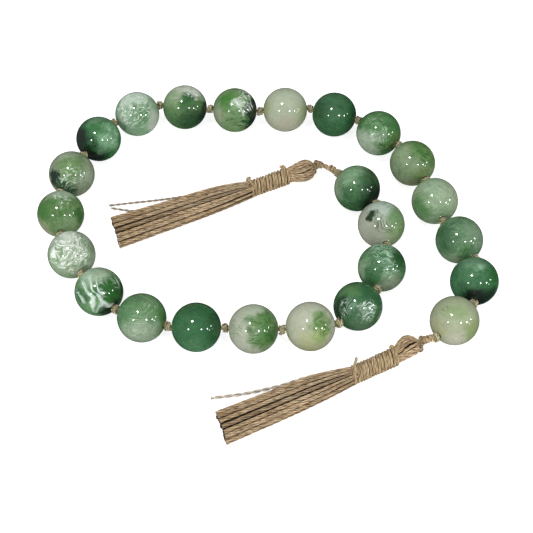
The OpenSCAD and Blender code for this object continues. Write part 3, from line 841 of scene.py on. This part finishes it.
# %% Fold the head loops
# The head's outline: forward from the ring and out from the middle.
HEAD_OUTLINE = [(14.2, 2.4), (11.8, 2.75), (9.6, 3.35), (7.6, 3.8), (5.6, 3.98), (3.8, 3.85), (2.2, 3.15), (1.1, 2.1),
                (0.5, 0.9)]
# Angles of the loops from straight up, with a gap where the real skein parts.
HEAD_ANGLES = {
    "inner": (-90, -73, -46, -30, -14, 2, 18, 34, 50, 67, 84),
    "outer": (-94, -77, -60, -43, -26, -9, 8, 38, 54, 71, 88),
}
# Each head swells more to one side: its width, and its middle's shift to the left.
HEAD_LEAN = {"inner": (1.12, 0.7), "outer": (1.0, -1.1)}
for name, angles in HEAD_ANGLES.items():
    stretch = TASSELS[name][2][0] / 12.6
    width, shift = HEAD_LEAN[name]
    paths, shades = [], []
    for layer, shrink in ((0, 1.0), (1, 0.6)):
        for number, angle in enumerate(angles[layer::1 + layer]):
            chooser = random.Random(100 * layer + number)
            swell = shrink * chooser.uniform(0.96, 1.03)
            turn = math.radians(angle + chooser.uniform(-2.5, 2.5))
            side = [(forward * stretch, out * swell * math.sin(turn) * width
                     + shift * math.sin(math.pi * min(1, forward / 12)), out * swell * math.cos(turn))
                    for forward, out in HEAD_OUTLINE]
            tip = (0.2 + 0.5 * layer, 1.2 * math.sin(turn) * shrink, 0)
            below = [(forward, left, -up) for forward, left, up in reversed(side)]
            loop = [tassel_place(name, 0, *p) for p in (*side, tip, *below)]
            paths.append(smooth(loop, 4))
            # The outer loops get a random shade from 0.95 to 1.3: it varies their tone, and above 1 it weakens the
            # painted groove shade. The inner layer is painted nearly black, as painted shade inside the head that
            # shows between the outer loops.
            shades.append((chooser.uniform(0.95, 1.3), 0.1)[layer])
    # One yarn lies across the others near the tip.
    ahead = tassel_place(name, 0, 1) - tassel_place(name, 0, 0)
    tilted = ahead + 0.35 * (tassel_place(name, 0, 0, 1) - tassel_place(name, 0, 0))
    paths.append(coil(tassel_place(name, 0, 2.0), tilted, 3.4, 1.0, 0.4, points=28))
    shades.append(0.6)
    head = lay_twine(f"{name}_head_loops", paths, tassel_jute, 1.12, seed=5, lay=7, shades=shades)
    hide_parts(f"{name}_loops")
    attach(head, f"{name}_tassel")
    print(head.name, len(head.data.polygons), "faces")

# %% [markdown]
# ## The bindings
# Twine is wound round the skein below the head, turn beside turn, and its ends are tucked away:
# one makes a small lump by the head, the other crosses the last turns and is cut short. Hand
# winding is never even, so the turns lean a little, and their spacing and tightness wander.

# %% Wind the bindings
BINDING_LEAN = 0.19
BINDING_R = 3.35
# Turns, then the lumps: forward, left, up, radius; then the crossing tail as forward, left, up.
BINDINGS = {
    "inner": (13, [(1.6, -3.0, 2.5, 0.9), (18.2, -3.1, 2.1, 1.15)],
              [(17.8, -3.4, 3.0), (18.4, -1.4, 4.3), (18.2, 1.4, 4.1), (17.4, 3.8, 2.4), (17.4, 4.8, 0.6)]),
    "outer": (14.5, [(0.9, -3.2, 2.2, 0.6)],
              [(19.9, 2.0, 3.8), (19.1, -1.2, 4.4), (17.4, -3.4, 3.3), (16.6, -4.2, 3.4), (16.4, -4.8, 3.5)]),
}
for name, (turns, lumps, tail) in BINDINGS.items():
    chooser = random.Random(17)
    length = TASSELS[name][2][1]
    steps = int(turns * 22)
    tightness = [chooser.uniform(-0.12, 0.12) for _ in range(int(turns) + 3)]
    spacing = [chooser.uniform(-0.16, 0.16) for _ in range(int(turns) + 3)]
    winding = []
    for i in range(steps + 1):
        at = turns * i / steps
        low, part = int(at), at - int(at)
        out = BINDING_R + tightness[low] * (1 - part) + tightness[low + 1] * part
        drift = spacing[low] * (1 - part) + spacing[low + 1] * part
        left, up = out * math.sin(math.tau * at), out * math.cos(math.tau * at)
        along = 0.7 + (length - 1.4) * at / turns + drift + BINDING_LEAN * left
        winding.append(tassel_place(name, 1, along, left, up))
    ahead = heading(TASSELS[name][1][1])
    bumps = [coil(tassel_place(name, 1, forward, left, up), ahead, radius, 1.7, 1.0, phase=forward)
             for forward, left, up, radius in lumps]
    end = smooth([tassel_place(name, 1, *p) for p in tail], 5)
    # Eight straight yarns inside the winding stand for the bound skein, and are painted nearly black: painted shade
    # that shows in the gaps between the turns.
    core = [[tassel_place(name, 1, length * i / 8, 2.1 * math.sin(a), 2.1 * math.cos(a)) for i in range(-1, 9)]
            for a in (math.tau * j / 8 for j in range(8))]
    paths = [winding, *bumps, end, *core]
    binding = lay_twine(f"{name}_binding_twine", paths, twine_jute, 1.26, plies=4, seed=9, lay=7,
                        shades=[0.08 if path in core else 0.97 for path in paths])
    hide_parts(f"{name}_binding")
    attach(binding, f"{name}_tassel")
    print(binding.name, len(binding.data.polygons), "faces")

# %% [markdown]
# ## The skirts
# Below the binding the skein is cut, and the yarns relax: they leave the binding as a tight
# bundle, grow thicker as their twist opens, and fan out on the table. The rows lie on each other
# and the end is cut straight. The skirt bends where it leaves the binding.

# %% Fan out the skirts
SKIRT_YARN = 1.66
# The bundle's half-width along the skirt: forward from the binding, then out.
SKIRT_OUTLINE = [(-1.5, 2.6), (0, 2.9), (6, 4.0), (15, 5.1), (35, 5.8)]
# Each row's height from the middle, share of the full width, and number of yarns.
SKIRT_ROWS = ((2.4, 0.9, 6), (0.1, 1.0, 8), (-2.4, 0.9, 9))
# The skirts don't leave their bindings quite straight, and one opens less than its part allows:
# how far each drifts to its right, and how much narrower it stays on each side.
SKIRT_DRIFT = {"inner": (1.4, 0.0), "outer": (1.3, 0.5)}
for name, (drift, less) in SKIRT_DRIFT.items():
    chooser = random.Random(23)
    length, width = TASSELS[name][2][2], TASSELS[name][3]
    outline = [*SKIRT_OUTLINE, (length - 0.4, (width - SKIRT_YARN) / 2 - less)]
    paths, shades = [], []
    for height, share, count in SKIRT_ROWS:
        for number in range(count):
            wander = 0.04 if height > 2 else 0.02
            spread = (2 * number / (count - 1) - 1) * share + chooser.uniform(-wander, wander)
            bow, lean = chooser.uniform(-6, 6) * wander, chooser.uniform(-5, 5) * wander
            route = [(forward, out * spread + bow * math.sin(forward / 20) + lean * forward / length
                      - drift * min(1, max(0, forward) / 12), height - 0.8 * min(1, max(0, forward) / 15))
                     for forward, out in outline]
            route[-1] = (route[-1][0] - chooser.uniform(0, 0.7) + 1.3 * max(0, spread), *route[-1][1:])
            paths.append(smooth([tassel_place(name, 2, *p) for p in route], 6))
            # The top row and the outermost yarns get a random tone; the inner yarns of the lower rows are painted
            # nearly black, as painted shade that shows in the gaps between the top yarns.
            shades.append(chooser.uniform(0.62, 1.08) if height > 2 or number in (0, count - 1) else 0.08)
    skirt = lay_twine(f"{name}_skirt_yarns", paths, tassel_jute, SKIRT_YARN, plies=4, seed=13, lay=7.5,
                      root=(0.6, 0.5), sides=6, step=0.5, shades=shades)
    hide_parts(f"{name}_skirt")
    tassel_place(name, 2, 0.3) * MM
    tassel_place(name, 2, 9) * MM
    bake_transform(skirt)
    print(skirt.name, len(skirt.data.polygons), "faces")

# %% [markdown]
# ## The stray yarns
# Three single yarns have come loose from the skirts and lie beside them on the table. They are
# free cords of two plies, cut at the far end like the rest of the skirt.

# %% Lay the stray yarns
for name, route in STRAYS.items():
    path = smooth(route, 5)
    material = pale_jute if name == "outer_stray" else grey_jute
    diameter = 1.5 if name == "outer_stray" else 1.1
    # A shade of 2 lifts most of the painted groove shade, so the thin yarns stay pale.
    stray = lay_twine(f"{name}_yarn", [path], material, diameter, plies=2, lay=5, sides=8, step=0.25, shades=(2.0,))
    length = sum((b - a).length for a, b in zip(path, path[1:])) * MM
    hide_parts(name)
    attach(stray, f"{name.split('_')[0]}_skirt")
    print(stray.name, round(length, 4), "m")

# %% [markdown]
# ## Close

# %% Finish
bpy.context.view_layer.update()
